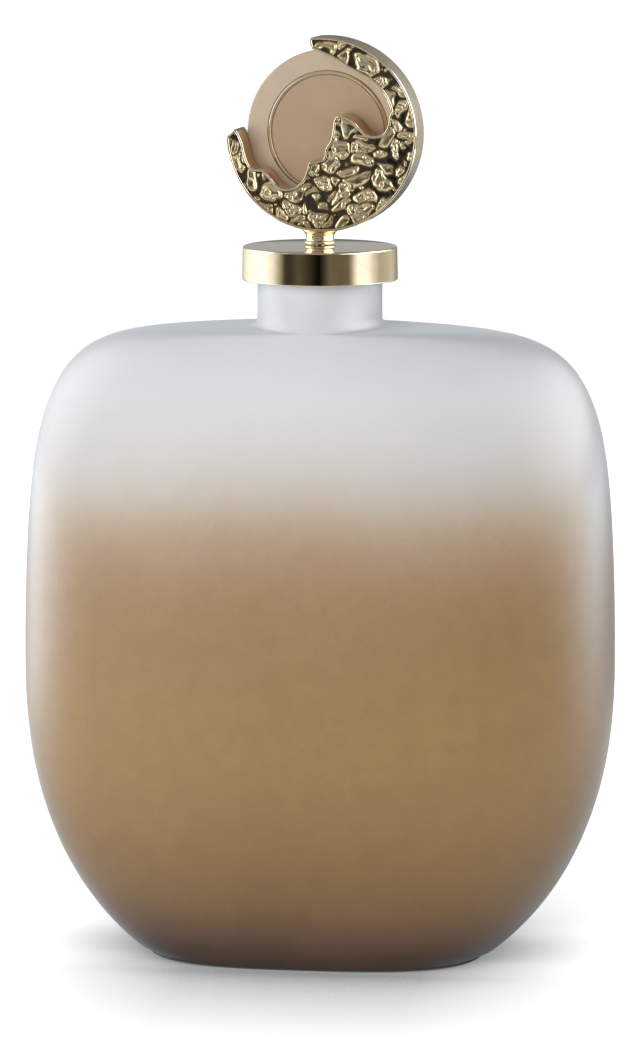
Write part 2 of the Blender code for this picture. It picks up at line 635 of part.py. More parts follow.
def main():
    clear_scene()
    parts = new_collection("decorative_jar")
    cutters = new_collection("cutters", helpers=True)

    lid = bpy.data.objects.new("lid_axis", None)
    parts.objects.link(lid)
    finial = bpy.data.objects.new("finial_frame", None)
    parts.objects.link(finial)
    finial.parent = lid
    finial.location = (FINIAL_SHIFT, 0, FINIAL_Z)
    lid.rotation_euler = (0, 0, LID_TURN)

    glass = finish("frosted_glass", (0.45, 0.36, 0.25), 0.42, 0.0)
    gold = finish("polished_gold", (0.86, 0.72, 0.50), 0.12, 1.0)
    champagne = finish("champagne_satin", (0.72, 0.62, 0.46), 0.34, 1.0)
    tan = finish("tan_inlay", (0.44, 0.30, 0.19), 0.45, 0.0, 0.3)
    steel = finish("plain_steel", (0.62, 0.62, 0.62), 0.3, 1.0)
    plastic = finish("white_plug", (0.82, 0.81, 0.78), 0.5, 0.0)
    rubber = finish("clear_silicone", (0.75, 0.75, 0.73), 0.4, 0.0)

    make_bottle(parts, glass)
    make_stopper(parts, lid, plastic, rubber, steel, gold)
    make_crescent(parts, cutters, lid, finial, gold)
    make_moon(parts, cutters, finial, champagne, gold, tan, steel)


main()
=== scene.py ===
import math

import bmesh
import bpy
import numpy as np
from mathutils import Matrix, Vector, kdtree, noise


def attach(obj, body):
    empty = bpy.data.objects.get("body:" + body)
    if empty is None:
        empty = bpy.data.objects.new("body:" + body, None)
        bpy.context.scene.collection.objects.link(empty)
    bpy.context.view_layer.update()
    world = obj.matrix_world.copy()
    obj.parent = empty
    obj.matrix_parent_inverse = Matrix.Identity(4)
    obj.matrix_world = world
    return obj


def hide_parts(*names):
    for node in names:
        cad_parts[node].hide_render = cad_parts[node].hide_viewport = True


# A frosted flask with a lift-off stopper, which carries a crescent and a round disc.
# The pieces' sizes are in millimetres, seen from the front. Meshes and the studio are in metres.

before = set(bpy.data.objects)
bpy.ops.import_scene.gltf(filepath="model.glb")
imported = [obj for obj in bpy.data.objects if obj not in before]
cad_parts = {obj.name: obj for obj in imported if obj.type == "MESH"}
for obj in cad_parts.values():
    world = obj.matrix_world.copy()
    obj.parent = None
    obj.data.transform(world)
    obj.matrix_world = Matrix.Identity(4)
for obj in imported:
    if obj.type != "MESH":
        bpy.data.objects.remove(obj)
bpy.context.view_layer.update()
mm = 0.001
fullTurn = 2 * math.pi
print("frame loaded,", len(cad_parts), "nodes")


# materials

# Links a node's inputs to the sockets given, or sets them to the values given
def feed(tree, node, inputs):
    for name, value in inputs.items():
        if isinstance(value, bpy.types.NodeSocket):
            tree.links.new(value, node.inputs[name])
        else:
            node.inputs[name].default_value = value


def newMaterial(name, settings):
    material = bpy.data.materials.new(name)
    material.use_nodes = True
    tree = material.node_tree
    shader = tree.nodes["Principled BSDF"]
    feed(tree, shader, settings)
    return material, tree, shader


def addNode(tree, kind, inputs=None, **settings):
    made = tree.nodes.new("ShaderNode" + kind)
    for name, value in settings.items():
        setattr(made, name, value)
    feed(tree, made, inputs or {})
    return made


def addRamp(tree, factor, stops):
    made = addNode(tree, "ValToRGB", {"Fac": factor})
    elements = made.color_ramp.elements
    for element, (place, colour) in ((elements[0], stops[0]), (elements[-1], stops[-1])):
        element.position = place
        element.color = (*colour, 1)
    for place, colour in stops[1:-1]:
        elements.new(place).color = (*colour, 1)
    return made.outputs["Color"]


def addRange(tree, value, low, high, toLow, toHigh):
    made = addNode(tree, "MapRange", {"Value": value, "From Min": low, "From Max": high,
                                      "To Min": toLow, "To Max": toHigh})
    return made.outputs["Result"]


def addMath(tree, operation, first, second=0.0):
    return addNode(tree, "Math", {0: first, 1: second}, operation=operation).outputs[0]


def addNoise(tree, vector, scale, detail=2.0, rough=0.5):
    made = addNode(tree, "TexNoise", {"Vector": vector, "Scale": scale, "Detail": detail,
                                      "Roughness": rough})
    return made.outputs["Fac"]


# Mixes two colours, which sit on the node's sockets 6 and 7
def addMix(tree, factor, first, second, blend="MIX"):
    made = addNode(tree, "Mix", {0: factor, 6: first, 7: second}, data_type="RGBA", blend_type=blend)
    return made.outputs[2]


# Object coordinates, turned about Z where an angle is given
def objectPlace(tree, turn=None):
    vector = addNode(tree, "TexCoord").outputs["Object"]
    if turn is None:
        return vector
    return addNode(tree, "Mapping", {"Vector": vector, "Rotation": (0, 0, turn)}).outputs["Vector"]


def addBump(tree, shader, height, strength, distance):
    bump = addNode(tree, "Bump", {"Height": height, "Strength": strength, "Distance": distance})
    feed(tree, shader, {"Normal": bump.outputs["Normal"]})


# A colour with faint clouds, a little darker and a little lighter
def cloudColour(tree, place, colour, scale, lift):
    clouds = addNoise(tree, place, scale, 4.0, 0.6)
    darker = tuple(part * 0.93 for part in colour)
    lighter = tuple(min(part * lift, 1) for part in colour)
    return addRamp(tree, clouds, [(0.3, darker), (0.7, lighter)])


# Metal with a faint cloudiness in its colour and gloss, and a fine grain or waves in its surface
def metalMaterial(name, colour, roughness, spread=0.25, wave=0.0, grain=None):
    material, tree, shader = newMaterial(name, {"Metallic": 1.0})
    place = objectPlace(tree)
    marks = addNoise(tree, place, 1080, 6.0, 0.7)
    gloss = addRange(tree, marks, 0.3, 0.75, roughness * (1 - spread), roughness * (1 + spread))
    feed(tree, shader, {"Base Color": cloudColour(tree, place, colour, 180, 1.05), "Roughness": gloss})
    if grain:
        addBump(tree, shader, addNoise(tree, place, grain, 2.0), 0.35, 0.00005)
    elif wave:
        addBump(tree, shader, addNoise(tree, place, 70, 1.0), wave, 0.0004)
    return material


# Plastic, rubber or a satin coat, with a fine skin
def dullMaterial(name, colour, roughness, settings):
    material, tree, shader = newMaterial(name, settings)
    place = objectPlace(tree)
    skin = addNoise(tree, place, 1800, 3.0)
    gloss = addRange(tree, skin, 0.3, 0.7, roughness * 0.85, roughness * 1.15)
    feed(tree, shader, {"Base Color": cloudColour(tree, place, colour, 90, 1.03), "Roughness": gloss})
    addBump(tree, shader, skin, 0.2, 0.00006)
    return material


# meshes

# Turns an outline of corners (radius, height, rounding) about Z, then puts it in its place
def turnedShape(corners, steps=144, closed=True, place=None):
    bm = bmesh.new()
    points = [bm.verts.new((radius * mm, 0, height * mm)) for radius, height, _ in corners]
    nextPoints = points[1:] + points[:1] if closed else points[1:]
    for point, nextPoint in zip(points, nextPoints):
        bm.edges.new((point, nextPoint))
    for rounding in sorted({corner[2] for corner in corners if corner[2] > 0}):
        group = [point for point, corner in zip(points, corners) if corner[2] == rounding]
        bmesh.ops.bevel(bm, geom=group, offset=rounding * mm, offset_type="OFFSET", affect="VERTICES",
                        segments=5, profile=0.5, material=-1)
    bmesh.ops.spin(bm, geom=bm.verts[:] + bm.edges[:], axis=(0, 0, 1), cent=(0, 0, 0),
                   angle=fullTurn, steps=steps, use_merge=True)
    bmesh.ops.remove_doubles(bm, verts=bm.verts[:], dist=1e-6)
    if place is not None:
        bmesh.ops.transform(bm, matrix=place, verts=bm.verts[:])
    bmesh.ops.recalc_face_normals(bm, faces=bm.faces[:])
    return bm


# Extrudes a ring of edges and gives back the new vertices and the new open edges
def extrudeRing(bm, edges):
    made = bmesh.ops.extrude_edge_only(bm, edges=edges)["geom"]
    verts = [item for item in made if isinstance(item, bmesh.types.BMVert)]
    newEdges = [item for item in made if isinstance(item, bmesh.types.BMEdge)]
    return verts, [edge for edge in newEdges if len(edge.link_faces) == 1]


# Section of a plain ring: its outer corners, then its inner ones
def ringCorners(outer, inner, foot, top, outerRound, innerRound):
    return [(outer, top, outerRound), (outer, foot, outerRound), (inner, foot, innerRound),
            (inner, top, innerRound)]


def newObject(name, bm, materials=()):
    mesh = bpy.data.meshes.new(name)
    bm.to_mesh(mesh)
    bm.free()
    for material in materials:
        mesh.materials.append(material)
    made = bpy.data.objects.new(name, mesh)
    bpy.context.scene.collection.objects.link(made)
    return made


def addPiece(name, bm, materials, body, nodes, sharpFrom=40, evenShading=True):
    piece = newObject(name, bm, materials)
    piece.data.shade_smooth()
    piece.data.set_sharp_from_angle(angle=math.radians(sharpFrom))
    if evenShading:
        piece.modifiers.new("even shading", "WEIGHTED_NORMAL").keep_sharp = True
    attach(piece, body)
    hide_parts(*nodes)


# frosted flask

flask = {
    "width": 253.2,
    "depth": 120.0,
    "bellyHeight": 125.0,
    "shoulderHeight": 269.6,
    "footInsetSide": 53.5,
    "footInsetFront": 7.5,
    "shoulderInsetFront": 29.0,
    "wall": 4.2,
    "hollow": 3.2,
    "footLand": 7.0,
    "footRound": 1.6,
    "floorFillet": 8.0,
    "lowerCurve": 2.3,  # exponent of the side below the belly
    "shoulderCurve": 6.2,  # and above it
    "lean": 0.068,  # how far the upper side leans in
    "planCurve": 3.0,  # exponent of the plan
    "planRoundsFrom": 0.55,  # share of the way from belly to shoulder
    "neckRadius": 26.6,
    "neckHeight": 27.3,
    "neckFillet": 4.2,
    "neckBlend": 9.0,  # reach of the soft join of neck and shoulder
    "rimRound": 0.8,
    "segments": 192,
    "ringStep": 3.2,  # steps of the mesh
    "neckStep": 1.2,
    "innerStep": 5.5,
}
rimHeight = flask["shoulderHeight"] + flask["neckHeight"]
boreRadius = flask["neckRadius"] - flask["wall"]


# Half-width and height up the flask's side, from foot to rim
def sideOutline():
    samples = 400
    belly, halfWidth = flask["bellyHeight"], flask["width"] / 2
    upper = flask["shoulderHeight"] - belly
    power = flask["lowerCurve"]
    foot = halfWidth - flask["footInsetSide"]
    reach = belly / (1 - (foot / halfWidth) ** power) ** (1 / power)
    low = np.linspace(0, belly, samples)
    lower = np.stack([halfWidth * (1 - ((belly - low) / reach) ** power) ** (1 / power), low], 1)
    angle = np.linspace(0, math.pi / 2, samples * 20)[1:-1]
    above = np.sin(angle) ** (2 / flask["shoulderCurve"])
    across = halfWidth * np.cos(angle) ** (2 / flask["shoulderCurve"]) * (1 - flask["lean"] * above**2)
    kept = across > flask["neckRadius"] + flask["neckFillet"]
    shoulder = np.stack([across[kept], belly + above[kept] * upper], 1)
    turned = np.linspace(0, math.pi / 2, 24)
    filletHeight = flask["shoulderHeight"] + flask["neckFillet"]
    fillet = np.stack([flask["neckRadius"] + flask["neckFillet"] * (1 - np.sin(turned)),
                       filletHeight - flask["neckFillet"] * np.cos(turned)], 1)
    neckHeights = np.linspace(filletHeight, rimHeight - flask["rimRound"], 24)[1:]
    neck = np.stack([np.full_like(neckHeights, flask["neckRadius"]), neckHeights], 1)
    return np.concatenate([lower, shoulder, fillet, neck])


# Half-depth at each height, up the flask's front
def frontOutline(heights):
    belly, halfDepth = flask["bellyHeight"], flask["depth"] / 2
    foot = halfDepth - flask["footInsetFront"]
    shoulder = halfDepth - flask["shoulderInsetFront"]
    lowerReach = belly / math.sqrt(1 - (foot / halfDepth) ** 2)
    upperReach = (flask["shoulderHeight"] - belly) / math.sqrt(1 - (shoulder / halfDepth) ** 2)
    share = (heights - belly) / np.where(heights < belly, lowerReach, upperReach)
    body = halfDepth * np.sqrt(np.maximum(1 - share**2, 0))
    near = np.maximum(flask["neckBlend"] - np.abs(body - flask["neckRadius"]), 0) / flask["neckBlend"]
    return np.maximum(body, flask["neckRadius"]) + near * near * flask["neckBlend"] / 4


# Exponent of the plan at each height, square-shouldered below and round at the neck
def planCurve(heights):
    share = (heights - flask["bellyHeight"]) / (flask["shoulderHeight"] - flask["bellyHeight"])
    share = np.clip((share - flask["planRoundsFrom"]) / (1 - flask["planRoundsFrom"]), 0, 1)
    return flask["planCurve"] + (2 - flask["planCurve"]) * share * share * (3 - 2 * share)


def movedInward(outline, distance):
    along = np.gradient(outline, axis=0)
    along /= np.linalg.norm(along, axis=1)[:, None]
    return outline + distance * np.stack([-along[:, 1], along[:, 0]], 1)


def evenSteps(outline, step):
    travel = np.concatenate([[0], np.cumsum(np.linalg.norm(np.diff(outline, axis=0), axis=1))])
    wanted = np.linspace(0, travel[-1], max(int(travel[-1] / step), 2) + 1)
    return np.stack([np.interp(wanted, travel, outline[:, i]) for i in (0, 1)], 1)


# Every section of the glass wall: (half-width, half-depth, exponent, height)
def glassSections():
    rounding = flask["footRound"]
    outline = sideOutline()
    neckFrom = flask["shoulderHeight"] - 2
    body = evenSteps(outline[outline[:, 1] < neckFrom], flask["ringStep"])
    neck = evenSteps(outline[outline[:, 1] >= neckFrom], flask["neckStep"])
    side = np.concatenate([body, neck[1:]])
    wide, heights = side.T
    deep, curve = frontOutline(heights), planCurve(heights)
    under = [(rounding + flask["footLand"] + flask["hollow"] * 2, flask["hollow"]),
             (rounding + flask["footLand"] + flask["hollow"] * 1.2, flask["hollow"] * 0.8),
             (rounding + flask["footLand"] + 0.4, 0.25), (rounding + flask["footLand"], 0.0)]
    for step in range(6):
        turned = math.pi / 2 * step / 5
        under.append((rounding * (1 - math.sin(turned)), rounding * (1 - math.cos(turned))))
    sections = [(wide[0] - inset, deep[0] - inset, flask["planCurve"], z) for inset, z in under]
    sections += [row for row in zip(wide, deep, curve, heights) if row[3] > rounding * 1.5]
    for step in range(1, 5):
        turned = math.pi / 2 * step / 4
        radius = flask["neckRadius"] - flask["rimRound"] * (1 - math.cos(turned))
        sections.append((radius, radius, 2.0, rimHeight - flask["rimRound"] * (1 - math.sin(turned))))

    inner = movedInward(outline, flask["wall"])
    frontHeights = np.linspace(0, rimHeight, 500)
    front = movedInward(np.stack([frontOutline(frontHeights), frontHeights], 1), flask["wall"])
    filletHeight = flask["hollow"] + flask["wall"] + flask["floorFillet"]
    inner = evenSteps(inner[inner[:, 1] > filletHeight], flask["innerStep"])
    innerDeep = np.interp(inner[:, 1], front[:, 1], front[:, 0])
    inNeck = inner[:, 1] > flask["shoulderHeight"] + flask["neckFillet"]
    innerDeep = np.where(inNeck, np.maximum(innerDeep, boreRadius), innerDeep)
    walls = [(a, b, n, z) for (a, z), b, n in zip(inner, innerDeep, planCurve(inner[:, 1]))]
    lowest = walls[0]
    walls[-1] = (boreRadius, boreRadius, 2.0, rimHeight - flask["rimRound"])
    sections.append((boreRadius + flask["rimRound"], boreRadius + flask["rimRound"], 2.0, rimHeight))
    sections += walls[::-1]
    for step in range(1, 6):
        turned = math.pi / 2 * step / 5
        inset = flask["floorFillet"] * (1 - math.cos(turned))
        sections.append((lowest[0] - inset, lowest[1] - inset, lowest[2],
                         filletHeight - flask["floorFillet"] * math.sin(turned)))
    return sections


# One closed wall, drawn up the outside ring by ring, over the rim and down the inside
def flaskShape():
    bm = bmesh.new()
    bearing = bm.verts.layers.float.new("bearing")
    ring = bmesh.ops.create_circle(bm, segments=flask["segments"], radius=1)["verts"]
    for vert in ring:
        vert[bearing] = math.atan2(vert.co.y, vert.co.x)
    first = bm.edges[:]
    edges = first
    for number, (halfWidth, halfDepth, power, height) in enumerate(glassSections()):
        if number:
            ring, edges = extrudeRing(bm, edges)
        for vert in ring:
            c, s = math.cos(vert[bearing]), math.sin(vert[bearing])
            radius = (abs(c / halfWidth) ** power + abs(s / halfDepth) ** power) ** (-1 / power)
            vert.co = Vector((c * radius, s * radius, height)) * mm
    for end in (first, edges):
        face = bmesh.ops.contextual_create(bm, geom=end)["faces"]
        bmesh.ops.poke(bm, faces=face)
    bmesh.ops.recalc_face_normals(bm, faces=bm.faces[:])
    return bm


# Satin glass, sprayed from silvery white at the shoulders to bronze brown below, darker still towards the
# foot, partly as painted shade
frost = {
    "drift": 14,  # scale of the colour change's waviness
    "grain": 1500,  # scale of the fine grain
    "mottle": 120,  # scale of the clouds
    "brownHeights": (0.165, 0.225),  # in metres, where the grain and the clouds fade out
    "finish": {"Specular IOR Level": 0.2, "Coat Weight": 1.0, "Coat Roughness": 0.42, "Coat IOR": 1.7,
               "Sheen Weight": 0.38, "Sheen Roughness": 0.5, "Sheen Tint": (0.80, 0.91, 1.0, 1.0)},
    "ombreAndFootShade": [  # height in mm and colour, from the foot up
        # the darkening towards the foot is partly painted shade
        (0, (0.045, 0.022, 0.010)),
        (8, (0.074, 0.036, 0.015)),
        (16, (0.128, 0.064, 0.027)),
        (28, (0.194, 0.104, 0.031)),
        (45, (0.240, 0.131, 0.035)),
        (65, (0.282, 0.154, 0.042)),
        (90, (0.311, 0.177, 0.047)),
        (120, (0.310, 0.174, 0.051)),
        (145, (0.300, 0.172, 0.058)),
        (160, (0.311, 0.185, 0.072)),
        (172, (0.338, 0.210, 0.106)),
        (182, (0.368, 0.252, 0.150)),
        (192, (0.418, 0.320, 0.223)),
        (202, (0.476, 0.413, 0.341)),
        (214, (0.524, 0.494, 0.464)),
        (228, (0.568, 0.559, 0.545)),
        (245, (0.613, 0.617, 0.622)),
        (268, (0.593, 0.600, 0.608)),
        (278, (0.560, 0.567, 0.576)),
        (300, (0.560, 0.567, 0.576)),
    ],
}


def frostMaterial():
    material, tree, shader = newMaterial("satin glass", frost["finish"])
    place = objectPlace(tree)
    height = addNode(tree, "SeparateXYZ", {"Vector": place}).outputs["Z"]
    drift = addRange(tree, addNoise(tree, place, frost["drift"], 2.0), 0.3, 0.7, -0.003, 0.003)
    height = addMath(tree, "ADD", height, drift)
    top = frost["ombreAndFootShade"][-1][0]
    stops = [(z / top, colour) for z, colour in frost["ombreAndFootShade"]]
    colour = addRamp(tree, addRange(tree, height, 0, top * mm, 0, 1), stops)
    grain = addRange(tree, addNoise(tree, place, frost["grain"], 3.0, 0.7), 0.25, 0.75, 0.0, 1.0)
    mottle = addRange(tree, addNoise(tree, place, frost["mottle"], 4.0, 0.6), 0.3, 0.7, 0.0, 1.0)
    brown = addRange(tree, height, *frost["brownHeights"], 1.0, 0.15)
    speck = addRamp(tree, grain, [(0.0, (0.85, 0.84, 0.83)), (1.0, (1.04, 1.04, 1.04))])
    cloud = addRamp(tree, mottle, [(0.0, (0.915, 0.91, 0.905)), (1.0, (1.03, 1.03, 1.03))])
    colour = addMix(tree, brown, colour, addMix(tree, 1.0, colour, speck, "MULTIPLY"))
    colour = addMix(tree, brown, colour, addMix(tree, 1.0, colour, cloud, "MULTIPLY"))
    feed(tree, shader, {"Base Color": colour, "Roughness": addRange(tree, grain, 0, 1, 0.38, 0.48)})
    addBump(tree, shader, grain, 0.12, 0.00006)
    return material


addPiece("flask", flaskShape(), [frostMaterial()], "jar", ["glass_bottle"], 50)
print("flask done")


# stopper, from the seals and the plug up to the stem

stopper = {
    "gap": 0.3,
    "plugRadius": 20.6,
    "flangeRadius": 25.8,
    "gasketThickness": 1.6,
    "flangeThickness": 3.0,
    "plugLength": 20.0,
    "sealThickness": 2.8,
    "sealDepths": (6.0, 14.5),
    "washerRadius": 8.0,
    "washerThickness": 1.2,
    "screwRadius": 2.0,
    "screwHeadRadius": 4.0,
    "screwHeadHeight": 2.6,
    "screwGrip": 14.0,
    "capRadius": 32.9,
    "capDraft": 0.3,
    "capHeight": 14.1,
    "capWall": 1.4,
    "capCrown": 0.8,
    "collarRadius": 6.7,
    "collarThickness": 1.2,
    "stemWaist": 5.9,
    "stemFoot": 6.3,
    "stemHead": 7.6,
    "stemHeight": 4.2,
    "stemNarrowest": 0.8,  # share of the way down
    "stemSink": 0.6,  # from the crescent's edge into the casting
    "stemRoot": 5.4,
}
gap = stopper["gap"]
flangeHeight = rimHeight + gap + stopper["gasketThickness"] + gap
flangeTop = flangeHeight + stopper["flangeThickness"]
plugBottom = flangeHeight - stopper["plugLength"]
capTop = flangeTop + gap + stopper["capWall"]
collarFoot = capTop + stopper["capCrown"] + gap
stemFoot = collarFoot + stopper["collarThickness"] + gap
screwHole = stopper["screwRadius"] + gap
sealRadius = stopper["sealThickness"] / 2
sealMiddle = boreRadius - gap - sealRadius

goldColour = (0.875, 0.765, 0.565)
polishedGold = metalMaterial("polished gold", goldColour, 0.07, wave=0.03)
satinGold = metalMaterial("satin champagne", (0.72, 0.61, 0.45), 0.30, 0.15, grain=2600)
zincSteel = metalMaterial("zinc steel", (0.60, 0.61, 0.62), 0.30, grain=2200)
whitePlastic = dullMaterial("white plastic", (0.82, 0.81, 0.78), 0.48, {"IOR": 1.49})
silicone = dullMaterial("milky silicone", (0.74, 0.75, 0.74), 0.38,
                        {"IOR": 1.41, "Subsurface Weight": 0.3, "Subsurface Scale": 0.002})

corners = ringCorners(stopper["flangeRadius"], stopper["plugRadius"] + gap, rimHeight + gap,
                      rimHeight + gap + stopper["gasketThickness"], 0.3, 0.3)
addPiece("rimGasket", turnedShape(corners), [silicone], "seals", ["rim_gasket"])

for place, depth in zip(("upper", "lower"), stopper["sealDepths"]):
    level = flangeHeight - depth
    sides = [math.pi / 2 - fullTurn * i / 24 for i in range(24)]
    corners = [(sealMiddle + sealRadius * math.cos(a), level + sealRadius * math.sin(a), 0) for a in sides]
    addPiece(f"{place}Seal", turnedShape(corners, 112), [silicone], "seals", [f"stopper_seal_{place}"],
             60)

groove = sealMiddle - sealRadius - gap
corners = [(stopper["flangeRadius"], flangeTop, 0.4), (stopper["flangeRadius"], flangeHeight, 0.4),
           (stopper["plugRadius"], flangeHeight, 0)]
for depth in stopper["sealDepths"]:
    for radius, side in ((stopper["plugRadius"], 1), (groove, 1), (groove, -1), (stopper["plugRadius"], -1)):
        corners.append((radius, flangeHeight - depth + side * (sealRadius + gap), 0.2))
corners += [(stopper["plugRadius"], plugBottom, 1.0), (screwHole, plugBottom, 0), (screwHole, flangeTop, 0)]
addPiece("plug", turnedShape(corners), [whitePlastic], "lid", ["stopper_plug"])

washerFoot = plugBottom - gap - stopper["washerThickness"]
corners = ringCorners(stopper["washerRadius"], screwHole, washerFoot,
                      washerFoot + stopper["washerThickness"], 0.25, 0.15)
addPiece("plugWasher", turnedShape(corners, 96), [zincSteel], "lid", ["stopper_washer"])

headTop = washerFoot - gap
tip = stemFoot + stopper["screwGrip"]
headRadius, shank = stopper["screwHeadRadius"], stopper["screwRadius"]
headFoot = headTop - stopper["screwHeadHeight"]
corners = [(0, tip, 0), (shank * 0.6, tip, 0), (shank, tip - shank * 0.4, 0.2), (shank, headTop, 0),
           (headRadius, headTop, 0.2), (headRadius, headTop - stopper["screwHeadHeight"] * 0.45, 0.5),
           (headRadius * 0.78, headFoot, 0.8), (0, headFoot, 0)]
addPiece("clampScrew", turnedShape(corners, 64, False), [zincSteel], "lid", ["stopper_screw"])

skirtFoot = capTop - stopper["capHeight"]
capRadius, capWall, draft = stopper["capRadius"], stopper["capWall"], stopper["capDraft"]
corners = [(screwHole, capTop + stopper["capCrown"], 0)]
for share in np.linspace(0.12, 0.94, 20):
    corners.append((capRadius * share, capTop + stopper["capCrown"] * (1 - share**2), 0))
corners += [(capRadius, capTop, 0.6), (capRadius + draft, skirtFoot, 0.5),
            (capRadius + draft - capWall, skirtFoot, 0.4), (capRadius - capWall, capTop - capWall, 0.8),
            (screwHole, capTop - capWall, 0)]
addPiece("cap", turnedShape(corners, 192), [polishedGold], "lid", ["lid_cap"], 60)

corners = ringCorners(stopper["collarRadius"], screwHole, collarFoot,
                      collarFoot + stopper["collarThickness"], 0.5, 0)
addPiece("stemCollar", turnedShape(corners, 96), [polishedGold], "lid", ["stem_collar"])
print("stopper done")


# finial: crescent with its stem, disc, inlay and bezel

finial = {
    "turn": -5.0,  # degrees about the stopper's axis
    "shift": 2.2,
    "discRadius": 35.3,
    "rim": 5.9,
    "depth": 17.0,
    "backRound": 0.66,
    "outlineStep": 0.4,
    "hornWear": 2.0,
    "discSetBack": 14.2,
    "discBackMargin": 0.2,
    "discRound": 0.8,
    "bezelRadius": 25.4,
    "bezelWidth": 1.3,
    "bezelStand": 0.5,
    "recess": 1.1,
    "inlaySink": 0.1,
    "screwRadius": 1.0,
    "screwHead": 1.9,
    "screwGrip": 6.0,
    "screwCircle": 31.0,
    "screwAngles": (-12.0, -60.0, -108.0),
}
crescentRadius = finial["discRadius"] + finial["rim"]
finialHeight = stemFoot + stopper["stemHeight"] + crescentRadius
finialPlace = (Matrix.Rotation(math.radians(finial["turn"]), 4, "Z")
               @ Matrix.Translation(Vector((finial["shift"], 0, finialHeight)) * mm))
backwards = Matrix.Rotation(math.radians(-90), 4, "X")  # local Z runs to the back
facingBack = finialPlace @ backwards
crescentFront = -finial["depth"] / 2
discFront = crescentFront + finial["discSetBack"]
discBack = finial["depth"] / 2 - finial["discBackMargin"]
seat = discFront - gap
recessRadius = finial["bezelRadius"] + finial["bezelWidth"] / 2 + gap

# Wave edge from the left horn's tip to the upper horn's: (right, up) in shares of the radius
waveEdge = [
    (-0.965, -0.014), (-0.912, 0.040), (-0.868, -0.006), (-0.830, -0.090), (-0.806, -0.190),
    (-0.775, -0.285), (-0.725, -0.355), (-0.610, -0.372), (-0.535, -0.445), (-0.455, -0.535),
    (-0.370, -0.562), (-0.255, -0.530), (-0.190, -0.465), (-0.152, -0.375), (-0.125, -0.290),
    (-0.045, -0.268), (0.030, -0.240), (0.045, -0.150), (0.100, -0.060), (0.122, 0.045),
    (0.140, 0.150), (0.185, 0.200), (0.260, 0.186), (0.345, 0.145), (0.410, 0.072),
    (0.480, 0.008), (0.565, -0.006), (0.650, 0.020), (0.698, 0.095), (0.712, 0.180),
    (0.732, 0.240), (0.712, 0.315), (0.670, 0.405), (0.612, 0.480), (0.505, 0.570),
    (0.395, 0.628), (0.280, 0.690), (0.140, 0.775), (0.000, 0.838), (-0.100, 0.880),
    (-0.118, 0.925),
]

relief = {
    "ground": 1.25,  # below the border line's top
    "height": 1.15,
    "border": 1.15,  # width of the raised line round the face
    "grid": 0.24,  # step of the mesh
    "island": 7.6,  # pitch of the nuggets
    "channel": 0.34,  # how far the nuggets shrink from each other
    "bead": 3.3,  # pitch of the beads
    "bends": ((8.5, 5.0), (3.6, 1.1)),  # pitch and reach of the pattern's large and small bends
    "roped": 0.45,  # share of the nuggets with a rope round them
    "ropedOrCreased": 0.70,
    "beadFrom": 0.48,  # picks above it carry a bead
    "looseFrom": 0.3,  # picks above it drop a bead in a channel
    "seed": 4,
    "patina": [  # share of the height and colour
        (0.07, (0.030, 0.022, 0.011)),
        (0.14, (0.10, 0.066, 0.029)),
        (0.24, (0.58, 0.42, 0.20)),
        (0.38, (0.92, 0.77, 0.48)),
    ],
}
noise.seed_set(relief["seed"])


def smoothLine(points, step):
    points = np.array(points)
    ends = np.concatenate([[2 * points[0] - points[1]], points, [2 * points[-1] - points[-2]]])
    t = np.linspace(0, 1, 16, endpoint=False)[:, None]
    dense = []
    for a, b, c, d in zip(ends, ends[1:], ends[2:], ends[3:]):
        dense.append(0.5 * (2 * b + (c - a) * t + (2 * a - 5 * b + 4 * c - d) * t**2
                            + (3 * b - a - 3 * c + d) * t**3))
    return evenSteps(np.concatenate(dense + [points[-1:]]), step)


# The crescent's outline as (right, up) in mm: the wave edge, then back round the outside
def crescentOutline():
    wave = smoothLine(np.array(waveEdge) * crescentRadius, finial["outlineStep"])
    first = math.atan2(wave[0][1], wave[0][0])
    last = math.atan2(wave[-1][1], wave[-1][0])
    sweep = np.linspace(last, last - (last - first) % fullTurn, 600)
    arc = crescentRadius * np.stack([np.cos(sweep), np.sin(sweep)], 1)
    points = evenSteps(np.concatenate([wave, arc, wave[:1]]), finial["outlineStep"])[:-1]
    # the horns' blunt ends are worn round
    near = [np.linalg.norm(points - end, axis=1) for end in (wave[0], arc[-1], wave[-1], arc[0])]
    worn = np.clip(finial["hornWear"] - np.min(near, axis=0), 0, 1)[:, None] * 0.5
    for _ in range(12):
        points = points + worn * ((np.roll(points, 1, 0) + np.roll(points, -1, 0)) / 2 - points)
    return points


outline = crescentOutline()
outlineTree = kdtree.KDTree(len(outline))
for i, (x, z) in enumerate(outline):
    outlineTree.insert((x, z, 0), i)
outlineTree.balance()


# The casting's blank, the outline carried from the back to the ground of the relief
def crescentBlank():
    bm = bmesh.new()
    points = [bm.verts.new(Vector((x, finial["depth"] / 2, z)) * mm) for x, z in outline]
    for point, nextPoint in zip(points, points[1:] + points[:1]):
        bm.edges.new((point, nextPoint))
    face = bmesh.ops.contextual_create(bm, geom=bm.edges[:])["faces"][0]
    made = bmesh.ops.extrude_face_region(bm, geom=[face])["geom"]
    front = [item for item in made if isinstance(item, bmesh.types.BMVert)]
    bmesh.ops.translate(bm, verts=front, vec=(0, (relief["ground"] - finial["depth"]) * mm, 0))
    bmesh.ops.recalc_face_normals(bm, faces=bm.faces[:])
    return bm


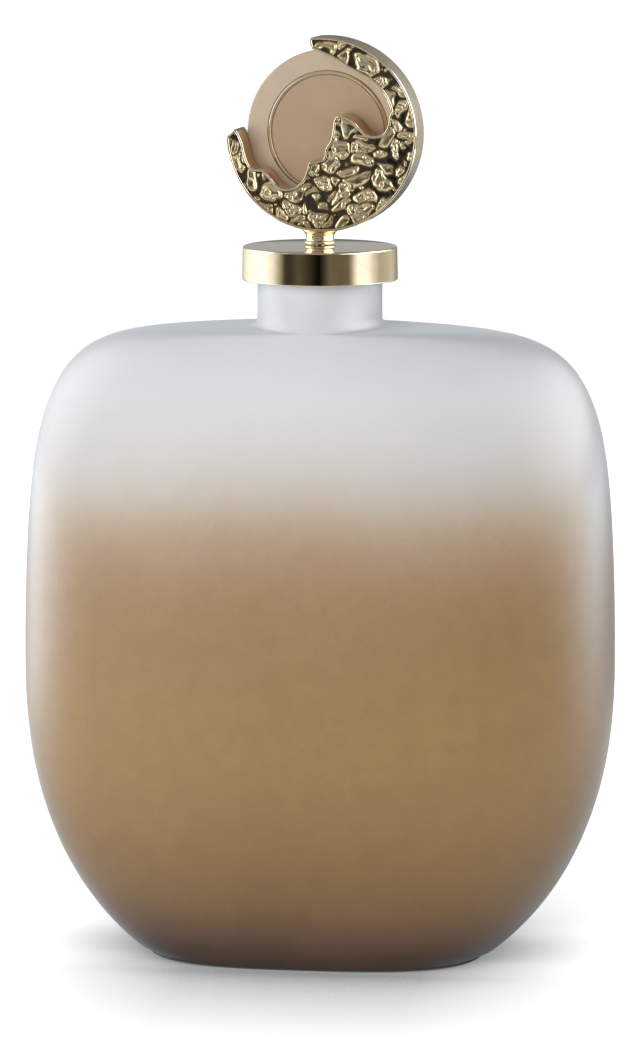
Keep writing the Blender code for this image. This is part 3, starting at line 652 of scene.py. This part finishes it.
def roundBackRim(bm):
    back = (finial["depth"] / 2 - 0.01) * mm
    pocketEdge = (finial["discRadius"] + gap + 0.2) * mm
    rim = []
    for edge in bm.edges:
        onBack = all(vert.co.y > back for vert in edge.verts)
        onPocket = all(math.hypot(vert.co.x, vert.co.z) < pocketEdge for vert in edge.verts)
        if onBack and not onPocket and edge.calc_face_angle(0) > 1:
            rim.append(edge)
    bmesh.ops.bevel(bm, geom=rim, offset=finial["backRound"] * mm, offset_type="OFFSET", affect="EDGES",
                    segments=3, profile=0.5, material=-1)
    return bm


# The raised line round the face: a closed ring of edges, drawn over a rounded section
def borderShape():
    along = np.roll(outline, -1, 0) - np.roll(outline, 1, 0)
    inward = np.stack([-along[:, 1], along[:, 0]], 1) / np.linalg.norm(along, axis=1)[:, None]
    probe = outline + inward * 0.3
    inward *= np.where(insideOutline(probe[:, 0], probe[:, 1]), 1, -1)[:, None]
    half = relief["border"] / 2
    ground = crescentFront + relief["ground"]
    section = [(0.2, ground + 0.2), (0.0, ground)]
    for step in range(9):
        turned = math.pi * step / 8
        section.append((half * (1 - math.cos(turned)), crescentFront + half * (1 - math.sin(turned))))
    section.append((relief["border"], ground + 0.2))
    bm = bmesh.new()
    ring = [bm.verts.new((0, 0, 0)) for _ in outline]
    edges = [bm.edges.new(pair) for pair in zip(ring, ring[1:] + ring[:1])]
    first = edges
    for number, (inset, level) in enumerate(section):
        if number:
            newRing, edges = extrudeRing(bm, edges)
            joins = {edge.other_vert(vert): vert for vert in newRing for edge in vert.link_edges
                     if edge.other_vert(vert) not in newRing}
            ring = [joins[vert] for vert in ring]
        for vert, (x, z), (toX, toZ) in zip(ring, outline, inward):
            depth = inset
            while depth > 0.1 and outlineTree.find((x + toX * depth, z + toZ * depth, 0))[2] < depth * 0.9:
                depth *= 0.93
            vert.co = Vector((x + toX * depth, level, z + toZ * depth)) * mm
    bmesh.ops.bridge_loops(bm, edges=first + edges)
    bmesh.ops.transform(bm, matrix=finialPlace, verts=bm.verts[:])
    bmesh.ops.recalc_face_normals(bm, faces=bm.faces[:])
    return bm


def insideOutline(xs, zs):
    inside = np.zeros(len(xs), bool)
    for (xi, zi), (xj, zj) in zip(outline, np.roll(outline, 1, axis=0)):
        if zi != zj:
            cut = (xj - xi) * (zs - zi) / (zj - zi) + xi
            inside ^= ((zi > zs) != (zj > zs)) & (xs < cut)
    return inside


def soft(x, low, high):
    t = min(max((x - low) / (high - low), 0), 1)
    return t * t * (3 - 2 * t)


def softLess(a, b, blend):
    near = max(blend - abs(a - b), 0) / blend
    return min(a, b) - near * near * blend / 4


# Rises from 0 at the edge to 1 at its reach
def dome(distance, reach):
    return math.sin(math.pi / 2 * min(max(distance / reach, 0), 1))


# A number from 0 to 1 for a cell's centre
def pick(point):
    return noise.cell(Vector((point.x * 37.7, point.y * 37.7, 5.5))) * 0.5 + 0.5


# Half a ball's height at a distance from its middle, in shares of its radius
def ballHeight(share):
    return math.sqrt(max(1 - share * share, 0))


# Height of the nuggets above the ground, 0 to about 1
def nuggetHeight(x, z):
    p = Vector((x, z, 0))
    (large, largeReach), (fine, fineReach) = relief["bends"]
    warp = noise.noise_vector(p / large) * largeReach
    warp += noise.noise_vector(p / fine + Vector((9, 4, 2))) * fineReach
    q = p + Vector((warp.x, warp.y, 0))
    island, bead = relief["island"], relief["bead"]
    distances, centres = noise.voronoi(q / island, distance_metric="DISTANCE", exponent=2.5)
    kind = pick(centres[0])
    gaps = [(far - distances[0]) / 2 * island for far in distances[1:3]]
    channel = relief["channel"] * soft(noise.noise(p / 5.0 + Vector((1, 8, 3))), -0.1, 0.5)
    edge = softLess(gaps[0], gaps[1], 1.6) - channel
    edge += 0.12 * noise.noise(p / 2.2 + Vector((3, 7, 1)))
    small, centre = noise.voronoi(p / bead + Vector((4.2, 1.1, 0)) + warp * (0.4 / bead),
                                  distance_metric="DISTANCE", exponent=2.5)
    choice = pick(centre[0])
    size = (0.24 + 0.16 * pick(centre[0] * 1.7)) * bead
    away = small[0] * bead
    wrinkle = 1 - 2 * abs(noise.noise(p / 3.8 + warp * 0.12 + Vector((0, 0, 4.4))))
    crease = soft(abs(noise.noise(q / 3.6 + Vector((6, 2, 8)))), 0.02, 0.16)
    if kind < relief["roped"]:  # a rope round a folded middle
        rope = math.exp(-((edge - 0.62) / 0.42) ** 2)
        middle = 0.34 + 0.48 * dome(edge - 1.1, 1.5) + 0.12 * wrinkle
        inside = max(rope * 0.95, middle * soft(edge, 0.75, 1.3))
    elif kind < relief["ropedOrCreased"]:  # creased
        inside = (0.78 + 0.10 * wrinkle) * (0.44 + 0.56 * crease)
    else:  # smooth
        inside = 0.40 + 0.52 * dome(edge, 3.0) + 0.10 * wrinkle
    if choice > relief["beadFrom"] and edge > 0.35:
        if away < size:
            inside = 0.28 + 0.70 * ballHeight(away / size)
        else:
            inside = 0.18 + (inside - 0.18) * soft(away - size, 0.0, 0.45)
    loose = 0
    if edge < 0.1 and choice > relief["looseFrom"]:
        loose = 0.75 * ballHeight(away / size / 0.85) * soft(-edge, -0.1, 0.25)
    return max(0.0, min(1.05, max(dome(edge + 0.05, 0.75) * inside, loose)))


# The nugget relief, a fine grid that dives under the ground at its own edge
def reliefShape():
    bm = bmesh.new()
    count = int(2 * crescentRadius / relief["grid"] / (1))
    bmesh.ops.create_grid(bm, x_segments=count, y_segments=count, size=crescentRadius)
    flat = np.array([vert.co for vert in bm.verts])
    inside = insideOutline(flat[:, 0], flat[:, 1])
    out = []
    for vert, kept in zip(bm.verts[:], inside):
        away = outlineTree.find(vert.co)[2] if kept else 0
        if away < relief["border"] * 0.62:
            out.append(vert)
            continue
        x, z = vert.co.x, vert.co.y
        rise = nuggetHeight(x, z) * relief["height"] * soft(away, relief["border"] * 0.85, 1.5)
        dive = 0.25 * (1 - soft(away, relief["border"] * 0.62, relief["border"] * 1.0))
        vert.co = Vector((x, crescentFront + relief["ground"] - rise + dive, z)) * mm
    bmesh.ops.delete(bm, geom=out, context="VERTS")
    loose = [vert for vert in bm.verts if not vert.link_faces]
    bmesh.ops.delete(bm, geom=loose, context="VERTS")
    inner = [vert for vert in bm.verts if not vert.is_boundary]
    for _ in range(2):
        bmesh.ops.smooth_vert(bm, verts=inner, factor=0.5, use_axis_y=True)
    bmesh.ops.transform(bm, matrix=finialPlace, verts=bm.verts[:])
    bmesh.ops.recalc_face_normals(bm, faces=bm.faces[:])
    facing = sum(face.normal.y * face.calc_area() for face in bm.faces)
    if facing > 0:
        bmesh.ops.reverse_faces(bm, faces=bm.faces[:])
    return bm


# Gold where the relief stands up, dark patina in its hollows
def reliefMaterial():
    material, tree, shader = newMaterial("nugget gold", {})
    place = objectPlace(tree, math.radians(-finial["turn"]))
    depth = addNode(tree, "SeparateXYZ", {"Vector": place}).outputs["Y"]
    ground, top = crescentFront + relief["ground"], crescentFront + 0.1
    rise = addRange(tree, depth, ground * mm, top * mm, 0.0, 1.0)
    grime = addRange(tree, addNoise(tree, objectPlace(tree), 900, 3.0), 0.3, 0.7, -0.06, 0.06)
    rise = addMath(tree, "ADD", rise, grime)
    feed(tree, shader, {"Base Color": addRamp(tree, rise, relief["patina"]),
                        "Roughness": addRange(tree, rise, 0.1, 0.4, 0.50, 0.22),
                        "Metallic": addRange(tree, rise, 0.05, 0.3, 0.3, 1.0)})
    return material


def cutWith(piece, cutter):
    boolean = piece.modifiers.new("cut", "BOOLEAN")
    boolean.operation = "DIFFERENCE"
    boolean.solver = "EXACT"
    boolean.object = cutter


# An object's mesh with its modifiers applied
def appliedShape(piece):
    graph = bpy.context.evaluated_depsgraph_get()
    bm = bmesh.new()
    bm.from_object(piece, graph)
    return bm


past = finial["depth"]
body = newObject("crescentBlank", crescentBlank())
pocket = [(0, past, 0), (finial["discRadius"] + gap, past, 0), (finial["discRadius"] + gap, seat, 0),
          (recessRadius, seat, 0), (recessRadius, seat - finial["bezelStand"], 0),
          (0, seat - finial["bezelStand"], 0)]
cutter = newObject("pocketCutter", turnedShape(pocket, 180, False, backwards))
cutWith(body, cutter)
bm = roundBackRim(appliedShape(body))
for helper in (body, cutter):
    bpy.data.objects.remove(helper)

# A darker, browner copy of the polished gold for the crescent's inner walls: painted shade and dark
# reflection of the recess by the disc
waveWallShadedGold = metalMaterial("wave wall gold with painted shade", (0.66, 0.43, 0.19), 0.14)
nuggets = reliefMaterial()
for item in bm.faces:
    middle = item.calc_center_median() / mm
    onFront = middle.y < crescentFront + relief["ground"] + 0.01
    onBack = abs(item.normal.y) > 0.6 or middle.y > finial["depth"] / 2 - 1.0
    onRim = math.hypot(middle.x, middle.z) > crescentRadius - 0.6
    item.material_index = 0 if onFront else 1 if onBack or onRim else 2
bmesh.ops.transform(bm, matrix=finialPlace, verts=bm.verts[:])
addPiece("crescentBody", bm, [nuggets, satinGold, waveWallShadedGold], "lid", ["crescent_casting"],
         35)
addPiece("crescentBorder", borderShape(), [polishedGold], "lid", ["crescent_casting"],
         60, evenShading=False)
addPiece("crescentRelief", reliefShape(), [nuggets], "lid", ["crescent_casting"],
         180, evenShading=False)
print("crescent done")

waist, head = stopper["stemWaist"], stopper["stemHead"]
inCasting = stemFoot + stopper["stemHeight"] + stopper["stemSink"]
rootTop = inCasting + stopper["stemRoot"]
narrowest = stopper["stemNarrowest"]
corners = [(0, rootTop, 0), (head, rootTop, 0), (head, inCasting, 0)]
for share in np.linspace(0, 1, 12):
    if share < narrowest:
        radius = waist + (head - waist) * (1 - share / narrowest) ** 2
    else:
        radius = waist + (stopper["stemFoot"] - waist) * ((share - narrowest) / (1 - narrowest)) ** 2
    corners.append((radius, stemFoot + stopper["stemHeight"] * (1 - share), 0))
corners += [(screwHole, stemFoot, 0), (screwHole, tip + gap, 0), (0, tip + gap, 0)]
bm = turnedShape(corners, 96, False)
behindGround = (head - 0.7) * mm
for vert in bm.verts:
    if vert.co.z > (inCasting - 0.1) * mm:
        vert.co.y = min(max(vert.co.y, -behindGround), behindGround)
addPiece("crescentStem", bm, [polishedGold], "lid", ["crescent_casting"], 60)

back = discFront + finial["recess"]
corners = [(0, discBack, 0), (finial["discRadius"], discBack, finial["discRound"]),
           (finial["discRadius"], discFront, finial["discRound"]), (recessRadius, discFront, 0.25),
           (recessRadius, back, 0), (0, back, 0)]
champagne = dullMaterial("champagne disc", (0.51, 0.405, 0.295), 0.36, {"Metallic": 0.25})
addPiece("disc", turnedShape(corners, 192, False, facingBack), [champagne], "lid", ["moon_disc"])

inlayRadius = finial["bezelRadius"] - finial["bezelWidth"] / 2 - gap
inlayFront = discFront + finial["inlaySink"]
corners = [(0, back - gap, 0), (inlayRadius, back - gap, 0.15), (inlayRadius, inlayFront, 0.25),
           (0, inlayFront, 0)]
tan = dullMaterial("tan inlay", (0.40, 0.28, 0.175), 0.38, {"Metallic": 0.2})
addPiece("inlay", turnedShape(corners, 160, False, facingBack), [tan], "lid", ["moon_inlay"])

half = finial["bezelWidth"] / 2
bezelFront = discFront - finial["bezelStand"]
outer, inner = finial["bezelRadius"] + half, finial["bezelRadius"] - half
bezelGold = metalMaterial("satin bezel gold", (0.90, 0.80, 0.61), 0.34, 0.15)
corners = [(outer, back - gap, 0), (outer, bezelFront, half * 0.95), (inner, bezelFront, half * 0.95),
           (inner, back - gap, 0)]
addPiece("bezelRing", turnedShape(corners, 192, True, facingBack), [bezelGold], "lid",
         ["moon_bezel_ring"], 60)

for number, degrees in enumerate(finial["screwAngles"], 1):
    angle = math.radians(degrees)
    right, up = finial["screwCircle"] * math.cos(angle), finial["screwCircle"] * math.sin(angle)
    cone = finial["screwHead"] - finial["screwRadius"]
    corners = [(0, discBack, 0), (finial["screwHead"], discBack, 0.12),
               (finial["screwRadius"], discBack - cone, 0),
               (finial["screwRadius"], discBack - finial["screwGrip"], 0.2),
               (0, discBack - finial["screwGrip"], 0)]
    place = finialPlace @ Matrix.Translation(Vector((right, 0, up)) * mm) @ backwards
    addPiece(f"discScrew{number}", turnedShape(corners, 48, False, place), [zincSteel], "lid",
             [f"disc_screw_{number}"])
print("finial done")


# floor, reflection cards, lamps and world

studio = {
    "cameraTurn": 7.5,
    "cameraDistance": 2.300,
    "cameraHeight": 0.5262,
    "cameraDrop": 8.475,
    "lens": 185.7,
    "lampAim": 0.2,
    "world": (0.28, 0.285, 0.295, 1),
}

paper = {
    "size": 40.0,
    "footReach": 0.045,  # of the painted contact shadow under the foot
    "shadowReach": 0.16,  # of the soft shadow in front
    "atFoot": 0.30,  # brightness that the painted contact shadow leaves
    "inFront": 0.08,  # and that the shadow in front leaves
    "sideFade": (0.05, 0.135),  # where the shadow in front ends, to the sides
    "depthFade": (0.03, 0.058),  # and where it begins
    "tone": (0.80, 0.81),
    "seenDarker": 0.35,  # how much darker the camera sees the paper's own colour
    "mirrorFade": (0.25, 1.2),  # where the jar's gloss starts to see the glow
    "glowReach": 5,
    "glow": [(0.0, 0.82), (0.2, 0.86), (0.5, 0.94), (1.0, 0.98)],  # share of its reach and level
}


# A point at a bearing from the camera's own, to the right of it where positive
def bearingPoint(degrees, distance, height):
    angle = math.radians(studio["cameraTurn"] + degrees)
    return Vector((distance * math.sin(angle), -distance * math.cos(angle), height))


# Turns a lamp or the camera to a height on the jar's axis
def aimAt(thing, height):
    toward = Vector((0, 0, height)) - thing.location
    thing.rotation_euler = toward.to_track_quat("-Z", "Y").to_euler()


def addLamp(name, bearing, distance, height, width, tall, power):
    data = bpy.data.lights.new(name, "AREA")
    data.shape = "RECTANGLE"
    data.size = width
    data.size_y = tall
    data.energy = power
    lamp = bpy.data.objects.new(name, data)
    bpy.context.scene.collection.objects.link(lamp)
    lamp.location = bearingPoint(bearing, distance, height)
    aimAt(lamp, studio["lampAim"])
    lamp.visible_camera = False
    lamp.visible_glossy = False


# White paper that glows of its own, with the jar's soft shadow painted on
def floorMaterial():
    material, tree, shader = newMaterial("floor", {"Roughness": 0.9, "Specular IOR Level": 0.1})
    place = objectPlace(tree)
    contact, around = (
        addNode(tree, "AmbientOcclusion", {"Distance": paper[reach]}, samples=8).outputs["AO"]
        for reach in ("footReach", "shadowReach"))
    spot = addNode(tree, "SeparateXYZ", {"Vector": place})
    aside, depth = (addMath(tree, "ABSOLUTE", spot.outputs[axis]) for axis in ("X", "Y"))
    middle = addMath(tree, "MULTIPLY", addRange(tree, aside, *paper["sideFade"], 1.0, 0.0),
                     addRange(tree, depth, *paper["depthFade"], 0.0, 1.0))
    atFoot = addRange(tree, contact, 0.0, 0.90, paper["atFoot"], 1.0)
    atFoot.node.interpolation_type = "SMOOTHSTEP"
    shadow = addMath(tree, "MULTIPLY", addMath(tree, "SUBTRACT", 1.0, around), middle)
    shade = addMath(tree, "MULTIPLY", atFoot, addRange(tree, shadow, 0.0, 0.70, 1.0, paper["inFront"]))
    rays = addNode(tree, "LightPath")
    tone = addRange(tree, addNoise(tree, place, 60, 2.0), 0.3, 0.7, *paper["tone"])
    darker = addMath(tree, "MULTIPLY", rays.outputs["Is Camera Ray"], paper["seenDarker"])
    tone = addMath(tree, "MULTIPLY", addMath(tree, "SUBTRACT", tone, darker), shade)
    colour = addNode(tree, "CombineColor", {"Red": tone, "Green": tone, "Blue": tone}).outputs["Color"]
    distance = addNode(tree, "VectorMath", {0: place}, operation="LENGTH").outputs["Value"]
    mirrored = addMath(tree, "MAXIMUM", rays.outputs["Is Glossy Ray"], rays.outputs["Is Transmission Ray"])
    mirrored = addMath(tree, "MULTIPLY", mirrored, addRange(tree, distance, *paper["mirrorFade"], 0.0, 1.0))
    seen = addMath(tree, "MAXIMUM", rays.outputs["Is Camera Ray"], mirrored)
    levels = [(share, (level,) * 3) for share, level in paper["glow"]]
    glow = addRamp(tree, addRange(tree, distance, 0, paper["glowReach"], 0, 1), levels)
    glow = addMath(tree, "MULTIPLY", glow, shade)
    feed(tree, shader, {"Base Color": colour, "Emission Color": (1, 1, 1, 1),
                        "Emission Strength": addMath(tree, "MULTIPLY", seen, glow)})
    return material


bm = bmesh.new()
bmesh.ops.create_grid(bm, x_segments=1, y_segments=1, size=paper["size"])
floor = newObject("floor", bm, [floorMaterial()])


# Rings of cards round the jar, seen only in its gloss: (bearing from the camera's own, brightness)
cards = {
    "base": {"bottom": 0.001, "top": 0.09, "distance": 0.6, "warm": 0.0, "cool": 0.10, "levels": [
        (-180, 0.0), (-140, 0.3), (-120, 3.0), (-100, 4.2), (-80, 2.6), (-60, 0.5), (-40, 0.4),
        (-20, 0.1), (0, 0.0), (40, 0.0), (60, 0.2), (80, 1.4), (100, 1.5), (120, 0.2), (140, 0.05),
        (180, 0.0)]},
    "low": {"bottom": 0.09, "top": 0.15, "distance": 0.6, "warm": 0.0, "cool": 0.16, "levels": [
        (-180, 0.0), (-150, 0.2), (-135, 1.4), (-120, 3.6), (-100, 5.8), (-80, 3.6), (-60, 0.7), (-40, 0.6),
        (-20, 0.1), (0, 0.0), (40, 0.0), (60, 0.5), (80, 3.2), (100, 3.4), (120, 1.5), (135, 0.6), (150, 0.1),
        (180, 0.0)]},
    "waist": {"bottom": 0.15, "top": 0.21, "distance": 0.6, "warm": 0.0, "cool": 0.16, "levels": [
        (-180, 0.0), (-150, 0.2), (-135, 1.7), (-120, 4.2), (-100, 6.2), (-80, 3.8), (-60, 0.8), (-40, 0.7),
        (-20, 0.1), (0, 0.0), (40, 0.3), (60, 1.9), (80, 7.4), (100, 7.6), (120, 3.4), (135, 1.3), (150, 0.2),
        (180, 0.0)]},
    "middle": {"bottom": 0.21, "top": 0.31, "distance": 0.6, "warm": 1.0, "cool": 0.0, "levels": [
        (-180, 0.3), (-160, 0.65), (-154, 0.83), (-130, 1.3), (-90, 1.6), (-80, 1.2), (-71, 1.0),
        (-66, 0.70), (-60, 0.40), (-53, 0.07), (-47, 0.04), (-40, 0.06), (-31, 0.105), (-22, 0.067),
        (-13, 0.034), (-6, 0.010), (-1, 0.003), (5, 0.04), (14, 0.155), (33, 0.14), (42, 0.17),
        (47, 0.45), (52, 0.88), (57, 1.3), (73, 1.3), (85, 0.78), (97, 0.50), (112, 0.56), (130, 0.68),
        (150, 0.42), (161, 0.26), (180, 0.25)]},
    "high": {"bottom": 0.31, "top": 0.9, "distance": 0.6, "warm": 0.0, "cool": 0.0, "levels": [
        (-180, 0.15), (-140, 0.7), (-120, 2.4), (-100, 3.0), (-80, 2.2), (-60, 1.5), (-40, 0.1), (20, 0.0),
        (40, 1.8), (60, 3.6), (80, 5.0), (100, 5.0), (120, 2.4), (140, 0.4), (180, 0.15)]},
    "above": {"bottom": 0.37, "top": 0.80, "distance": 0.59, "warm": 0.0, "cool": 0.0, "levels": [
        (-75, 0.0), (-60, 0.4), (10, 0.4), (30, 0.0)]},
    "behind": {"bottom": 0.335, "top": 0.42, "distance": 0.59, "warm": -0.15, "cool": 0.0, "levels": [
        (145, 0.42), (215, 0.42)]},
}


# Brightness along a ring by its bearing, from its first level to its last
def cardMaterial(name, settings):
    levels, warm, cool = settings["levels"], settings["warm"], settings["cool"]
    low, high = levels[0][0], levels[-1][0]
    material, tree, _ = newMaterial(name, {})
    margin = 0.5
    toFirst = math.radians(90 - studio["cameraTurn"] - low + margin)
    place = addNode(tree, "SeparateXYZ", {"Vector": objectPlace(tree, toFirst)}).outputs
    bearing = addMath(tree, "FLOORED_MODULO", addMath(tree, "ARCTAN2", place["Y"], place["X"]), fullTurn)
    share = addRange(tree, bearing, math.radians(margin), math.radians(high - low + margin), 0.0, 1.0)
    stops = []
    for degrees, level in levels:
        tint = warm * (1 - min(level, 1))
        shares = (1 - cool, 1 - 0.17 * tint, 1 - 0.45 * tint + cool)
        stops.append(((degrees - low) / (high - low), tuple(level * share for share in shares)))
    glow = addNode(tree, "Emission", {"Color": addRamp(tree, share, stops), "Strength": 1.0})
    feed(tree, tree.nodes["Material Output"], {"Surface": glow.outputs["Emission"]})
    return material


for name, settings in cards.items():
    bm = bmesh.new()
    first, last = settings["levels"][0][0], settings["levels"][-1][0]
    foot, head = (bearingPoint(first, settings["distance"], settings[end]) for end in ("bottom", "top"))
    edge = bm.edges.new((bm.verts.new(foot), bm.verts.new(head)))
    bmesh.ops.spin(bm, geom=edge.verts[:] + [edge], axis=(0, 0, 1), cent=(0, 0, 0),
                   angle=math.radians(last - first), steps=72)
    card = newObject(f"{name}Cards", bm, [cardMaterial(f"{name} cards", settings)])
    card.visible_camera = False
    card.visible_diffuse = False
    card.visible_shadow = False
    card.visible_transmission = False

lamps = {  # bearing, distance, height, width, tall, power
    "frontKey": (-30, 1.6, 0.55, 1.3, 1.1, 21.3),
    "rightFill": (60, 1.6, 0.55, 0.9, 0.9, 5),
    "leftBack": (-120, 1.3, 1.35, 0.9, 0.9, 4),
    "backFill": (180, 1.5, 0.75, 1.2, 0.9, 9),
}
for name, (bearing, distance, height, width, tall, power) in lamps.items():
    addLamp(name, bearing, distance, height, width, tall, power)

world = bpy.data.worlds.new("studio")
world.use_nodes = True
feed(world.node_tree, world.node_tree.nodes["Background"], {"Color": studio["world"], "Strength": 1.0})
bpy.context.scene.world = world

cameraData = bpy.data.cameras.new("camera")
cameraData.lens = studio["lens"]
cameraData.sensor_width = 36
camera = bpy.data.objects.new("camera", cameraData)
bpy.context.scene.collection.objects.link(camera)
camera.location = bearingPoint(0, studio["cameraDistance"], studio["cameraHeight"])
drop = studio["cameraDistance"] * math.tan(math.radians(studio["cameraDrop"]))
aimAt(camera, studio["cameraHeight"] - drop)
bpy.context.scene.camera = camera
bpy.context.scene.view_settings.view_transform = "Standard"
print("studio done")
